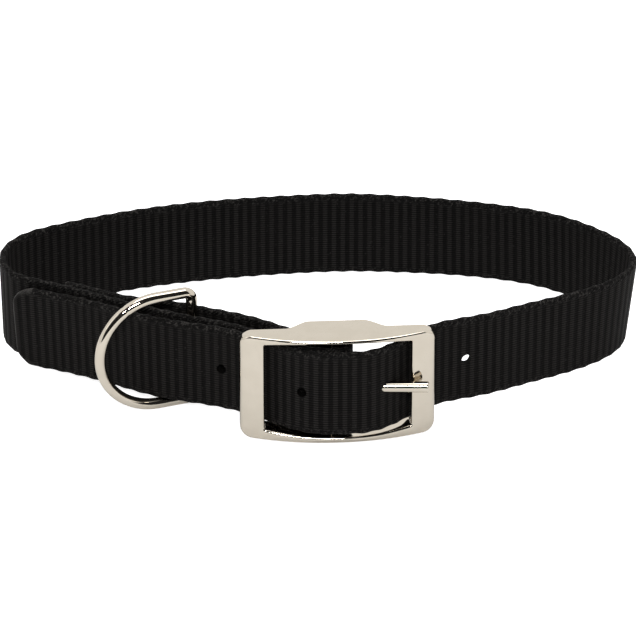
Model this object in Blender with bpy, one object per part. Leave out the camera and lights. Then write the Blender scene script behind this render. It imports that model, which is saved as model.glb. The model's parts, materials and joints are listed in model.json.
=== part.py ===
"""A one inch webbing dog collar: buckled strap, centre-bar buckle, tongue and D-ring.

The plan is laid out from the buckle's centre bar: X runs to the right, Y away to the back
of the loop and Z up, with Z = 0 at half the strap's width. The whole collar then stands on
the buckle's lower rail and on the back of the strap's lower edge.
"""
import math

import bmesh
import bpy
import numpy as np
from mathutils import Matrix, Vector

# Webbing, in metres
STRAP_WIDTH = 0.0254
STRAP_THICKNESS = 0.0020
LEFT_REACH = 0.0928
RIGHT_REACH = 0.0812
LOOP_DEPTH = 0.0855
FOLD_BACK_LENGTH = 0.0850
TAIL_LENGTH = 0.0977
TIP_RADIUS = 0.0063
TIP_DROOP = 0.0015
TIP_DROOP_POWER = 5
TIP_LEAN = math.radians(3.6)
TAIL_BULGE = 0.0012
TAIL_BULGE_PLACE = 0.0540
TAIL_BULGE_REACH = 0.0140
STATION_STEP = 0.0022
LAST_STEP_SHARE = 0.3

# How the strap bends round the bar and behind the buckle's side bars. The slack left behind
# a side bar is given as a share at its inner edge, the inner ply's places there are shares
# of one ply, and the places beside the bar are shares of the fold's radius.
STRAP_SLACK_LEFT = 0.0036
STRAP_SLACK_RIGHT = 0.0035
SLACK_SHARE_LEFT = 0.30
SLACK_SHARE_RIGHT = 0.22
INNER_EDGE_SHIFT = (0.67, 0.74)
OUTER_EDGE_SHIFT = (0.50, 0.87)
BESIDE_BAR_LEFT = 1.0
BESIDE_BAR_RIGHT = 2.1
BESIDE_BAR_FRONT = 0.97

# Holes in the tail, counted along the strap from the one that the tongue is in, which the
# strap's pull sets a little beyond the tongue
HOLE_PITCH = 0.0254
HOLE_DIAMETER = 0.0028
HOLE_PULL = 0.0022
HOLE_SIDES = 16
HOLE_PLACES = (-1, 1, 2)

# Buckle. The drops are how far the frame's and the window's middles lie below the strap's.
BUCKLE_WIDTH = 0.0531
BUCKLE_HEIGHT = 0.0320
BUCKLE_BOW = 0.0054
BUCKLE_TURN = math.radians(3.5)
BUCKLE_DROP = 0.0006
BAR_DIAMETER = 0.0037
BAR_SETBACK = 0.00445
SIDE_BAR_WIDTH = 0.0066
SIDE_BAR_DEPTH = 0.0029
WINDOW_HEIGHT = 0.0292
WINDOW_BARREL = 0.0015
WINDOW_DROP = 0.00015
LUG_DEPTH = 0.0037
LUG_HALF_WIDTH = 0.00725
LUG_SHOULDER = 0.0068
CORNER_RADIUS = 0.0031
WINDOW_CORNER = 0.0005
EDGE_CHAMFER = 0.0003
RAIL_CORNER_SHARE = 0.3
SIDE_BLEND_SHARE = 0.5

# Tongue. Its overlap is a share of the side bar's width, and its eye's wall and the start
# of its hole in the strap are shares of its wire and of its eye.
TONGUE_WIRE = 0.0030
TONGUE_OVERLAP = 0.70
TONGUE_SLOT_LENGTH = 0.0053
EYE_WALL_SHARE = 0.43
HOLE_START_SHARE = 1.6

# D-ring. The pocket between the plies closes over a number of its wires beyond its bar.
RING_WIRE = 0.0031
RING_HEIGHT = 0.0362
RING_REACH = 0.0280
RING_CORNER = 0.0022
RING_DISTANCE = 0.0457
RING_REST = math.radians(41.0)
RING_EDGE_GAP = 0.0002
POCKET_CLOSING_WIRES = 7.0
WIRE_SIDES = 12

# Clearances
PLY_GAP = 0.0003
METAL_GAP = 0.0003

# The loop behind the buckle, from its left to its right: place across, as a share of the
# left or right reach, place to the back, as a share of the loop's depth, and outward lean
# of the strap's upper edge in degrees.
LOOP_ROWS = (
    ("left_front", -0.457, 0.183, 0.0),
    ("left_front_end", -0.705, 0.313, 0.0),
    ("left_turn_start", -0.888, 0.411, 0.5),
    ("left_turn_front", -0.964, 0.462, 1.0),
    ("left_end", -0.997, 0.532, 1.0),
    ("left_turn_back", -0.996, 0.628, 1.0),
    ("left_turn_end", -0.955, 0.706, 0.5),
    ("back_left_end", -0.841, 0.785, 0.0),
    ("back_left", -0.649, 0.871, 0.0),
    ("back_left_middle", -0.424, 0.938, 0.0),
    ("back_middle", -0.117, 0.989, -1.0),
    ("back_furthest", 0.042, 1.000, -1.5),
    ("back_right_middle", 0.219, 0.990, -3.0),
    ("back_right", 0.570, 0.933, -5.5),
    ("back_right_end", 0.743, 0.871, -4.0),
    ("right_turn_back", 0.903, 0.749, 0.5),
    ("right_turn", 0.983, 0.637, 4.5),
    ("right_end", 0.999, 0.537, 6.0),
    ("right_turn_front", 0.963, 0.456, 5.0),
    ("right_turn_end", 0.866, 0.369, 3.0),
    ("right_front_end", 0.624, 0.245, 0.5),
    ("right_front", 0.485, 0.180, 0.0),
)


def clear_scene():
    for old in list(bpy.data.objects):
        bpy.data.objects.remove(old, do_unlink=True)


def make_material(name, colour, roughness, metallic):
    material = bpy.data.materials.new(name)
    material.use_nodes = True
    shader = material.node_tree.nodes["Principled BSDF"]
    shader.inputs["Base Color"].default_value = (*colour, 1.0)
    shader.inputs["Roughness"].default_value = roughness
    shader.inputs["Metallic"].default_value = metallic
    return material


def smooth_step(value):
    value = np.clip(value, 0.0, 1.0)
    return value * value * (3.0 - 2.0 * value)


def unit(vectors):
    return vectors / np.linalg.norm(vectors, axis=-1, keepdims=True)


def outward(points):
    """Outward unit normals in plan of a route that runs clockwise seen from above."""
    tangent = unit(np.gradient(points, axis=0))
    return np.column_stack((-tangent[:, 1], tangent[:, 0]))


def travelled(points):
    """Distance along a route at each of its points."""
    steps = np.linalg.norm(np.diff(points, axis=0), axis=1)
    return np.concatenate(([0.0], np.cumsum(steps)))


def clamped_spline(knots, start, end, step):
    """Cubic spline through the knots, leaving and arriving along two unit directions.

    Each knot's slope solves the usual three-term equations, with chord lengths between
    the knots, and the result is read at about the given step.
    """
    knots = np.asarray(knots, float)
    chord = np.linalg.norm(np.diff(knots[:, :2], axis=0), axis=1)
    count = len(knots)
    matrix = np.eye(count)
    right = np.zeros_like(knots)
    right[0, :2] = start
    right[-1, :2] = end
    for k in range(1, count - 1):
        before, after = chord[k - 1], chord[k]
        matrix[k, k - 1:k + 2] = (after, 2.0 * (before + after), before)
        rise_before = (knots[k] - knots[k - 1]) / before
        rise_after = (knots[k + 1] - knots[k]) / after
        right[k] = 3.0 * (after * rise_before + before * rise_after)
    slope = np.linalg.solve(matrix, right)
    pieces = []
    for k in range(count - 1):
        parts = max(2, math.ceil(chord[k] / step))
        t = np.arange(parts)[:, None] / parts
        pieces.append(
            (2 * t**3 - 3 * t**2 + 1) * knots[k]
            + (t**3 - 2 * t**2 + t) * chord[k] * slope[k]
            + (3 * t**2 - 2 * t**3) * knots[k + 1]
            + (t**3 - t**2) * chord[k] * slope[k + 1]
        )
    pieces.append(knots[-1:])
    return np.concatenate(pieces)


def from_buckle(across, back):
    """Plan place of a point given along and behind the buckle's own width."""
    cos, sin = math.cos(BUCKLE_TURN), math.sin(BUCKLE_TURN)
    return across * cos - back * sin, across * sin + back * cos


def front_face(across):
    """How far behind the bar the buckle's bowed front face lies."""
    share = across / (BUCKLE_WIDTH / 2)
    return BUCKLE_BOW * share**2 - BAR_SETBACK


def window_half_width():
    return BUCKLE_WIDTH / 2 - SIDE_BAR_WIDTH


def fold_radius():
    """Middle of the ply that turns round the bar."""
    return BAR_DIAMETER / 2 + METAL_GAP + STRAP_THICKNESS / 2


def ply_pitch():
    return STRAP_THICKNESS + PLY_GAP


def strap_behind_side_bar(across, slack):
    return front_face(across) + SIDE_BAR_DEPTH + slack + STRAP_THICKNESS / 2


def loop_route():
    """Middle line of the strap from the bar's front, round the loop, to above the bar."""
    fold = fold_radius()
    over = fold + ply_pitch()
    inner, outer = window_half_width(), BUCKLE_WIDTH / 2
    pitch = ply_pitch()
    left_in = strap_behind_side_bar(inner, SLACK_SHARE_LEFT * STRAP_SLACK_LEFT)
    left_out = strap_behind_side_bar(outer, STRAP_SLACK_LEFT)
    right_in = strap_behind_side_bar(inner, SLACK_SHARE_RIGHT * STRAP_SLACK_RIGHT)
    right_out = strap_behind_side_bar(outer, STRAP_SLACK_RIGHT)
    in_across, in_back = (share * pitch for share in INNER_EDGE_SHIFT)
    out_across, out_back = (share * pitch for share in OUTER_EDGE_SHIFT)
    knots = [
        (*from_buckle(0.0, -fold), 0.0),
        (*from_buckle(-BESIDE_BAR_LEFT * fold, -BESIDE_BAR_FRONT * fold), 0.0),
        (*from_buckle(-inner + in_across, left_in + in_back), 0.0),
        (*from_buckle(-outer + out_across, left_out + out_back), 0.0),
    ]
    for _, across, back, lean in LOOP_ROWS:
        reach = LEFT_REACH if across < 0 else RIGHT_REACH
        knots.append((across * reach, back * LOOP_DEPTH, math.radians(lean)))
    knots += [
        (*from_buckle(outer, right_out), 0.0),
        (*from_buckle(inner, right_in), 0.0),
        (*from_buckle(BESIDE_BAR_RIGHT * fold, -BESIDE_BAR_FRONT * over), 0.0),
        (*from_buckle(0.0, -over), 0.0),
    ]
    left = from_buckle(-1.0, 0.0)
    return clamped_spline(knots, left, left, STATION_STEP)


def shifted(route, distance):
    """A route moved outward by a distance that may change along it."""
    normal = outward(route[:, :2])
    moved = route.copy()
    moved[:, :2] += normal * np.reshape(distance, (-1, 1))
    return moved


def trimmed(route, length):
    """The first part of a route, cut off at a length."""
    distance = travelled(route[:, :2])
    keep = distance < length - LAST_STEP_SHARE * STATION_STEP
    last = [np.interp(length, distance, route[:, k]) for k in range(route.shape[1])]
    return np.vstack((route[keep], last))


def fold_back_route(loop):
    """Inner ply, from the bar's back to its sewn end, opened where the ring's bar sits."""
    route = trimmed(loop, FOLD_BACK_LENGTH)
    distance = travelled(route[:, :2])
    at_bar = 2.0 * fold_radius()
    at_ring = STRAP_THICKNESS + RING_WIRE + 2.0 * METAL_GAP
    closing = distance - RING_DISTANCE - RING_WIRE
    spread = at_bar + (at_ring - at_bar) * smooth_step(distance / RING_DISTANCE)
    spread += (ply_pitch() - at_ring) * smooth_step(closing / (POCKET_CLOSING_WIRES * RING_WIRE))
    return shifted(route, -spread)


def tail_route(loop):
    """Outer ply, from above the bar to the tip.

    Towards the tip it hangs a little lower and leans outward about its lower edge, and it
    stands off the loop a little beyond the ring.
    """
    route = trimmed(loop, TAIL_LENGTH)
    distance = travelled(route[:, :2])
    share = distance / TAIL_LENGTH
    lean = TIP_LEAN * share
    bulge = TAIL_BULGE * np.exp(-(((distance - TAIL_BULGE_PLACE) / TAIL_BULGE_REACH) ** 2))
    moved = shifted(route, ply_pitch() + bulge + STRAP_WIDTH / 2 * np.sin(lean))
    moved[:, 2] += lean
    return moved, TIP_DROOP * share**TIP_DROOP_POWER


def fold_route():
    """Half turn of the strap round the bar, from its back to its front."""
    angles = np.radians(np.linspace(90.0, -90.0, 13))[1:-1]
    points = [from_buckle(fold_radius() * math.cos(a), fold_radius() * math.sin(a)) for a in angles]
    return np.column_stack((points, np.zeros(len(angles))))


def tip_half_width(left):
    """Half width of the strap where a given length is left before its rounded tip."""
    inside = np.clip(TIP_RADIUS - left, 0.0, TIP_RADIUS)
    return STRAP_WIDTH / 2 - TIP_RADIUS + np.sqrt(TIP_RADIUS**2 - inside**2)


def refine_tip(tail, droop):
    """Replaces the last points of the tail by closer ones that follow its rounded corners."""
    distance = travelled(tail[:, :2])
    total = distance[-1]
    turn = TIP_RADIUS * (1.0 - np.sin(np.radians(np.array([0, 18, 36, 54, 72, 84]))))
    keep = distance[distance < total - TIP_RADIUS - LAST_STEP_SHARE * STATION_STEP]
    stations = np.concatenate((keep, total - turn))
    columns = [np.interp(stations, distance, tail[:, k]) for k in range(3)]
    half = tip_half_width(total - stations)
    return np.column_stack(columns), np.interp(stations, distance, droop), half


def ribbon_mesh(route, drop, half):
    """Closed ribbon: a four-cornered section carried along a route, with both ends capped."""
    normal = outward(route[:, :2])
    lean = route[:, 2]
    side = np.column_stack((normal * np.cos(lean)[:, None], -np.sin(lean)))
    rise = np.column_stack((normal * np.sin(lean)[:, None], np.cos(lean)))
    middle = np.column_stack((route[:, :2], -drop))
    corners = []
    for out, up in ((-1, -1), (1, -1), (1, 1), (-1, 1)):
        corners.append(middle + out * side * STRAP_THICKNESS / 2 + up * rise * half[:, None])
    points = np.stack(corners, axis=1).reshape(-1, 3)
    count = len(route)
    faces = []
    for k in range(count - 1):
        for c in range(4):
            d = (c + 1) % 4
            faces.append((4 * k + c, 4 * k + d, 4 * k + 4 + d, 4 * k + 4 + c))
    faces.append((3, 2, 1, 0))
    end = 4 * (count - 1)
    faces.append((end, end + 1, end + 2, end + 3))
    return points, faces


def mesh_object(name, points, faces, material=None):
    mesh = bpy.data.meshes.new(name)
    mesh.from_pydata([tuple(map(float, p)) for p in points], [], faces)
    work = bmesh.new()
    work.from_mesh(mesh)
    bmesh.ops.recalc_face_normals(work, faces=work.faces)
    work.to_mesh(mesh)
    work.free()
    made = bpy.data.objects.new(name, mesh)
    bpy.context.scene.collection.objects.link(made)
    if material:
        mesh.materials.append(material)
    return made


def rod_object(name, start, end, radius, sides, material=None):
    """Round rod between two points."""
    start, end = Vector(start), Vector(end)
    work = bmesh.new()
    bmesh.ops.create_cone(
        work, cap_ends=True, segments=sides, radius1=radius, radius2=radius,
        depth=(end - start).length,
    )
    turn = Vector((0, 0, 1)).rotation_difference(end - start).to_matrix().to_4x4()
    bmesh.ops.transform(work, matrix=Matrix.Translation((start + end) / 2) @ turn, verts=work.verts)
    mesh = bpy.data.meshes.new(name)
    work.to_mesh(mesh)
    work.free()
    made = bpy.data.objects.new(name, mesh)
    bpy.context.scene.collection.objects.link(made)
    if material:
        mesh.materials.append(material)
    return made


def combine(target, other, operation):
    """Adds a Boolean of a helper object, which isn't part of the model."""
    other.hide_render = True
    other.display_type = "WIRE"
    modifier = target.modifiers.new(other.name, "BOOLEAN")
    modifier.operation = operation
    modifier.solver = "EXACT"
    modifier.object = other


def route_parts():
    """All of the strap's middle line in order, with what its tail and loop need later."""
    loop = loop_route()
    back = fold_back_route(loop)[::-1]
    turn = fold_route()
    tail, droop = tail_route(loop)
    tail, droop, tip_half = refine_tip(tail[1:], droop[1:])
    before = np.vstack((back, turn, loop))
    route = np.vstack((before, tail))
    drop = np.concatenate((np.zeros(len(before)), droop))
    half = np.concatenate((np.full(len(before), STRAP_WIDTH / 2), tip_half))
    return loop, route, drop, half, len(before) - 1


def tongue_line():
    """Start and end of the tongue's middle line, as places along and behind the buckle."""
    inner = window_half_width()
    lift = TONGUE_WIRE / 2 + METAL_GAP
    at_side = front_face(inner) - lift
    eye = BAR_DIAMETER / 2 + METAL_GAP + EYE_WALL_SHARE * TONGUE_WIRE
    at_eye = TONGUE_WIRE / 2 - eye
    tip = inner + TONGUE_OVERLAP * SIDE_BAR_WIDTH
    slope = (at_side - at_eye) / inner
    return at_eye, slope, tip, eye


def make_strap(material):
    loop, route, drop, half, over_bar = route_parts()
    strap = mesh_object("strap", *ribbon_mesh(route, drop, half), material)
    distance = travelled(route[:, :2])
    normal = outward(route[:, :2])

    at_eye, slope, tip, eye = tongue_line()
    begin = HOLE_START_SHARE * eye
    start = from_buckle(begin, at_eye + slope * begin)
    end = from_buckle(tip, at_eye + slope * tip)
    combine(strap, rod_object(
        "tongue_hole_cutter", (*start, 0.0), (*end, 0.0), TONGUE_WIRE / 2 + METAL_GAP, HOLE_SIDES,
    ), "DIFFERENCE")

    first = distance[over_bar] - crossing(loop, at_eye, slope) - HOLE_PULL
    reach = STRAP_THICKNESS / 2 + PLY_GAP / 2
    for number, place in enumerate(HOLE_PLACES):
        at = first + place * HOLE_PITCH
        middle = [np.interp(at, distance, route[:, k]) for k in range(2)]
        middle.append(-np.interp(at, distance, drop))
        facing = [np.interp(at, distance, normal[:, k]) for k in range(2)]
        facing = Vector((*facing, 0.0)).normalized()
        centre = Vector(middle)
        combine(strap, rod_object(
            f"hole_cutter_{number}", centre - facing * reach, centre + facing * reach,
            HOLE_DIAMETER / 2, HOLE_SIDES,
        ), "DIFFERENCE")

    combine(strap, slot_cutter(eye), "DIFFERENCE")
    return strap, loop


def crossing(loop, at_eye, slope):
    """Length of strap between the bar's front and the place where the tongue goes through."""
    distance = travelled(loop[:, :2])
    cos, sin = math.cos(BUCKLE_TURN), math.sin(BUCKLE_TURN)
    across = loop[:, 0] * cos + loop[:, 1] * sin
    back = -loop[:, 0] * sin + loop[:, 1] * cos
    above = back - at_eye - slope * across
    last = np.flatnonzero((above[:-1] > 0) & (above[1:] <= 0))[-1]
    share = above[last] / (above[last] - above[last + 1])
    at = distance[last] + share * (distance[last + 1] - distance[last])
    return distance[-1] - at


def slot_cutter(eye):
    """Slot through both plies at the fold, which lets the tongue's eye sit on the bar."""
    front = fold_radius() + STRAP_THICKNESS / 2 + PLY_GAP / 2
    half_height = TONGUE_WIRE / 2 + 2.0 * METAL_GAP
    corners = []
    for z in (-half_height, half_height):
        for across, back in (
            (-TONGUE_SLOT_LENGTH, -front), (front + METAL_GAP, -front),
            (front + METAL_GAP, front + METAL_GAP), (-TONGUE_SLOT_LENGTH, front + METAL_GAP),
        ):
            corners.append((*from_buckle(across, back), z))
    faces = [(3, 2, 1, 0), (4, 5, 6, 7), (0, 1, 5, 4), (1, 2, 6, 5), (2, 3, 7, 6), (3, 0, 4, 7)]
    return mesh_object("tongue_slot_cutter", corners, faces)


def rounded_outline(half_width, half_height, radius, bow):
    """Closed outline of a rectangle with round corners, whose long sides may bow outward.

    It runs anticlockwise from the middle of the right side, with as many points whatever
    its sizes, so that an outer and an inner outline pair up.
    """
    side = np.linspace(0.0, 1.0, 5)[1:]
    corner = np.radians(np.linspace(0.0, 90.0, 6))[1:]
    rail = np.linspace(1.0, 0.0, 13)[1:]
    straight = half_height - radius
    right = np.column_stack((np.full(4, half_width), side * straight))
    bend = np.column_stack((
        half_width - radius + radius * np.cos(corner), straight + radius * np.sin(corner),
    ))
    along = rail * (half_width - radius)
    top = np.column_stack((along, np.full(12, half_height)))
    quarter = np.vstack(([[half_width, 0.0]], right, bend, top))
    share = quarter[:, 0] / half_width
    along_rail = np.arange(len(quarter)) > len(right)
    quarter[:, 1] += np.where(along_rail, bow * (1.0 - share**2), 0.0)
    left = quarter[-2::-1] * (-1, 1)
    upper = np.vstack((quarter, left))
    lower = upper[-2:0:-1] * (1, -1)
    return np.vstack((upper, lower))


def make_buckle_frame(material):
    """Frame carried round its window, with chamfered edges, and the bar joined across it."""
    half_width, half_height = BUCKLE_WIDTH / 2, BUCKLE_HEIGHT / 2
    outer = rounded_outline(half_width, half_height, CORNER_RADIUS, 0.0)
    inner = rounded_outline(
        window_half_width(), WINDOW_HEIGHT / 2 - WINDOW_BARREL, WINDOW_CORNER, WINDOW_BARREL,
    )
    inner[:, 1] += BUCKLE_DROP - WINDOW_DROP
    depth = BUCKLE_BOW - BAR_SETBACK + SIDE_BAR_DEPTH

    def back_face(across):
        rail = np.abs(outer[:, 1]) > half_height - RAIL_CORNER_SHARE * CORNER_RADIUS
        lug = smooth_step((LUG_HALF_WIDTH + LUG_SHOULDER - np.abs(across)) / LUG_SHOULDER)
        behind_rail = depth + LUG_DEPTH * lug
        behind_side = front_face(across) + SIDE_BAR_DEPTH
        blend = SIDE_BLEND_SHARE * SIDE_BAR_WIDTH
        edge = smooth_step((half_width - np.abs(across)) / blend)
        return np.where(rail, behind_side + (behind_rail - behind_side) * edge, behind_side)

    inward = unit(inner - outer)
    cut = EDGE_CHAMFER
    ring = []
    for base, step, face, sign in (
        (outer, inward, "front", 1), (inner, -inward, "front", -1),
        (inner, -inward, "back", 1), (outer, inward, "back", -1),
    ):
        def depth_at(across, face=face):
            return front_face(across) if face == "front" else back_face(across)

        on_face = base + step * cut
        on_wall = base
        shift = cut if face == "front" else -cut
        face_point = (on_face, depth_at(on_face[:, 0]))
        wall_point = (on_wall, depth_at(on_wall[:, 0]) + shift)
        ring += [wall_point, face_point] if sign > 0 else [face_point, wall_point]

    columns = []
    for outline, back in ring:
        x, y = from_buckle(outline[:, 0], back)
        columns.append(np.column_stack((x, y, outline[:, 1] - BUCKLE_DROP)))
    points = np.stack(columns, axis=1)
    count, width = points.shape[:2]
    faces = []
    for k in range(count):
        n = (k + 1) % count
        for c in range(width):
            d = (c + 1) % width
            faces.append((k * width + c, k * width + d, n * width + d, n * width + c))
    frame = mesh_object("buckle_frame", points.reshape(-1, 3), faces, material)

    end = (half_height + WINDOW_HEIGHT / 2) / 2
    bar = rod_object(
        "bar_core", (0, 0, -end - BUCKLE_DROP), (0, 0, end - BUCKLE_DROP), BAR_DIAMETER / 2, 24,
    )
    combine(frame, bar, "UNION")
    return frame


def make_tongue(material):
    """Eye round the bar and a straight round shank that lies on the right side bar."""
    at_eye, slope, tip, eye = tongue_line()
    half = TONGUE_WIRE / 2
    tongue = rod_object("buckle_tongue", (0, 0, -half), (0, 0, half), eye, 32, material)
    start = from_buckle(0.0, at_eye)
    end = from_buckle(tip, at_eye + slope * tip)
    shank = rod_object("tongue_shank", (*start, 0.0), (*end, 0.0), half, 20)
    combine(tongue, shank, "UNION")
    bore = rod_object(
        "tongue_bore", (0, 0, -BUCKLE_HEIGHT / 2), (0, 0, BUCKLE_HEIGHT / 2),
        BAR_DIAMETER / 2 + METAL_GAP, 32,
    )
    combine(tongue, bore, "DIFFERENCE")
    return tongue


def d_outline():
    """Middle line of the ring's wire: straight bar, two short arms and a half circle.

    The first number is the reach from the bar and the second the height.
    """
    half = (RING_HEIGHT - RING_WIRE) / 2
    arm = RING_REACH - RING_WIRE / 2 - half
    small = RING_CORNER
    points = []
    for a in np.radians(np.linspace(-90, 90, 25)):
        points.append((arm + half * math.cos(a), half * math.sin(a)))
    for a in np.radians(np.linspace(90, 180, 6)):
        points.append((small + small * math.cos(a), half - small + small * math.sin(a)))
    for a in np.radians(np.linspace(180, 270, 6)):
        points.append((small + small * math.cos(a), small - half + small * math.sin(a)))
    return np.array(points)


def make_ring(material, hinge, direction):
    """Ring of round wire, swept round its outline in its own plane."""
    outline = d_outline()
    ahead = np.roll(outline, -1, axis=0) - outline
    behind = outline - np.roll(outline, 1, axis=0)
    tangent = unit(unit(ahead) + unit(behind))
    normal = np.column_stack((tangent[:, 1], -tangent[:, 0]))
    angles = np.linspace(0.0, 2.0 * math.pi, WIRE_SIDES, endpoint=False)
    radius = RING_WIRE / 2
    in_plane = outline[:, None, :] + radius * np.cos(angles)[None, :, None] * normal[:, None, :]
    off_plane = np.broadcast_to(radius * np.sin(angles), in_plane.shape[:2])
    points = np.stack((in_plane[..., 0], off_plane, in_plane[..., 1]), axis=-1).reshape(-1, 3)
    count = len(outline)
    faces = []
    for k in range(count):
        n = (k + 1) % count
        for c in range(WIRE_SIDES):
            d = (c + 1) % WIRE_SIDES
            faces.append(
                (k * WIRE_SIDES + c, k * WIRE_SIDES + d, n * WIRE_SIDES + d, n * WIRE_SIDES + c)
            )
    ring = mesh_object("d_ring", points, faces, material)
    ring.location = hinge
    ring.rotation_euler = (0.0, 0.0, direction)
    return ring


def ring_hinge(loop):
    """Middle of the ring's straight bar between the plies, and the way that the ring lies."""
    distance = travelled(loop[:, :2])
    inset = STRAP_THICKNESS / 2 + METAL_GAP + RING_WIRE / 2
    normal = outward(loop[:, :2])
    place = [np.interp(RING_DISTANCE, distance, loop[:, k] - inset * normal[:, k]) for k in (0, 1)]
    facing = [np.interp(RING_DISTANCE, distance, normal[:, k]) for k in (0, 1)]
    along_strap = math.atan2(facing[0], -facing[1])
    beyond_arm = (RING_DISTANCE + RING_REACH / 2) / TAIL_LENGTH
    droop = TIP_DROOP * beyond_arm**TIP_DROOP_POWER
    lower_arm = -STRAP_WIDTH / 2 - droop - RING_EDGE_GAP - RING_WIRE
    height = lower_arm + RING_HEIGHT / 2
    return Vector((*place, height)), math.pi + along_strap + RING_REST


def world_points(made):
    depsgraph = bpy.context.evaluated_depsgraph_get()
    shape = made.evaluated_get(depsgraph)
    mesh = shape.to_mesh()
    points = np.array([shape.matrix_world @ v.co for v in mesh.vertices])
    shape.to_mesh_clear()
    return points


def stand_up(pieces, base):
    """Tips the collar on to the buckle and the strap's back edge, over the middle of its box."""
    lug_back = BUCKLE_BOW - BAR_SETBACK + SIDE_BAR_DEPTH + LUG_DEPTH
    below_strap = BUCKLE_HEIGHT / 2 + BUCKLE_DROP - STRAP_WIDTH / 2
    behind_lug = LOOP_DEPTH + STRAP_THICKNESS / 2 - lug_back
    base.rotation_euler = (-math.atan2(below_strap, behind_lug), 0.0, 0.0)
    bpy.context.view_layer.update()
    everything = np.vstack([world_points(piece) for piece in pieces.values()])
    low, high = everything.min(axis=0), everything.max(axis=0)
    base.location = (-(low[0] + high[0]) / 2, -(low[1] + high[1]) / 2, -low[2])
    bpy.context.view_layer.update()


def main():
    clear_scene()
    webbing = make_material("black_webbing", (0.010, 0.009, 0.009), 0.85, 0.0)
    nickel = make_material("polished_nickel", (0.68, 0.63, 0.57), 0.08, 1.0)
    strap, loop = make_strap(webbing)
    hinge, direction = ring_hinge(loop)
    pieces = {
        "strap": strap,
        "buckle_frame": make_buckle_frame(nickel),
        "buckle_tongue": make_tongue(nickel),
        "d_ring": make_ring(nickel, hinge, direction),
    }
    base = bpy.data.objects.new("collar_stand", None)
    bpy.context.scene.collection.objects.link(base)
    for made in list(bpy.context.scene.collection.objects):
        if made is not base:
            made.parent = base
    stand_up(pieces, base)
    for name in ("buckle_frame", "buckle_tongue", "d_ring"):
        pieces[name].data.shade_smooth()
        pieces[name].data.set_sharp_from_angle(angle=math.radians(35))


main()
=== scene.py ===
# Black nylon webbing dog collar with a polished nickel buckle, tongue and D-ring.
# The plan is laid out from the buckle's bar: X to the right, Y to the back of the loop,
# Z up with 0 at half the strap's width. stand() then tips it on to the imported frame.
import json
import math

import bpy
import numpy as np
from mathutils import Matrix, Vector


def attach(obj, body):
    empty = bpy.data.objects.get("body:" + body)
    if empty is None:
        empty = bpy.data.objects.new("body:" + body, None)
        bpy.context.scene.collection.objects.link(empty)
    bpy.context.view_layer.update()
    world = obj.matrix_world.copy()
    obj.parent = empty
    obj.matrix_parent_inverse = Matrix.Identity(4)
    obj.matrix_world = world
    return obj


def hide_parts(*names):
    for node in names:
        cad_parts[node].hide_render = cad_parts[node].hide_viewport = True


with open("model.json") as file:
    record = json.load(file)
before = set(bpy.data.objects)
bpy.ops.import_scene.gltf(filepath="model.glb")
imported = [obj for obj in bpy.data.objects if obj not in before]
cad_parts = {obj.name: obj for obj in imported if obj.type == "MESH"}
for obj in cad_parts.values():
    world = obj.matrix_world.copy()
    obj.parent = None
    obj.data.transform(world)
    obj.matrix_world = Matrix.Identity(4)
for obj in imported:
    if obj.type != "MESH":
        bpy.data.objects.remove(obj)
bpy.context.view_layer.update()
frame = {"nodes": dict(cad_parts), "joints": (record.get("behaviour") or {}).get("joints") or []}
print("frame loaded:", ", ".join(sorted(frame["nodes"])))

strapLook = {
    "width": 0.0254,
    "thickness": 0.0020,
    "leftReach": 0.0928,
    "rightReach": 0.0812,
    "loopDepth": 0.0855,
    "foldBackLength": 0.0850,
    "tailLength": 0.0977,
    "tipRadius": 0.0063,
    "tipDroop": 0.0015,
    "tipLean": math.radians(3.6),
    "tailBulge": 0.0012,
    "bulgePlace": 0.0540,
    "bulgeReach": 0.0140,
    "plyGap": 0.0003,
    "slackLeft": 0.0036,
    "slackRight": 0.0035,
    "step": 0.0004,
    "edgeRound": 0.0008,
    "ribPitch": 0.00256,
    "ribHeight": 0.00012,
    "edgeLoop": 0.00027,
    "yarnPitch": 0.00071,
    "faceColumns": 23,
    "edgeColumns": 5,
}

buckleLook = {
    "width": 0.0531,
    "height": 0.0320,
    "bow": 0.0054,
    "turn": math.radians(3.5),
    "drop": 0.0006,
    "barDiameter": 0.0037,
    "barSetback": 0.00445,
    "sideBarWidth": 0.0066,
    "sideBarDepth": 0.0029,
    "windowHeight": 0.0292,
    "windowBarrel": 0.0015,
    "windowDrop": 0.00015,
    "lugDepth": 0.0037,
    "lugHalfWidth": 0.00725,
    "lugShoulder": 0.0068,
    "cornerRadius": 0.0031,
    "windowCorner": 0.0005,
    "frontRound": 0.0010,
    "backRound": 0.0003,
    "metalGap": 0.0003,
}

tongueLook = {"wire": 0.0030, "overlap": 0.70, "slotLength": 0.0053}

holeLook = {"pitch": 0.0254, "diameter": 0.0028, "pull": 0.0022, "places": (-1, 1, 2)}

ringLook = {
    "wire": 0.0031,
    "height": 0.0362,
    "reach": 0.0280,
    "corner": 0.0022,
    "distance": 0.0457,
    "rest": math.radians(41.0),
    "edgeGap": 0.0002,
}

# the loop behind the buckle: share of the left or right reach, share of the depth, and
# outward lean of the upper edge in degrees
loopRows = np.array([
    (-0.457, 0.183, 0.0), (-0.705, 0.313, 0.0), (-0.888, 0.411, 0.5), (-0.964, 0.462, 1.0),
    (-0.997, 0.532, 1.0), (-0.996, 0.628, 1.0), (-0.955, 0.706, 0.5), (-0.841, 0.785, 0.0),
    (-0.649, 0.871, 0.0), (-0.424, 0.938, 0.0), (-0.117, 0.989, -1.0), (0.042, 1.000, -1.5),
    (0.219, 0.990, -3.0), (0.570, 0.933, -5.5), (0.743, 0.871, -4.0), (0.903, 0.749, 0.5),
    (0.983, 0.637, 4.5), (0.999, 0.537, 6.0), (0.963, 0.456, 5.0), (0.866, 0.369, 3.0),
    (0.624, 0.245, 0.5), (0.485, 0.180, 0.0),
])


# curves in plan

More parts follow.
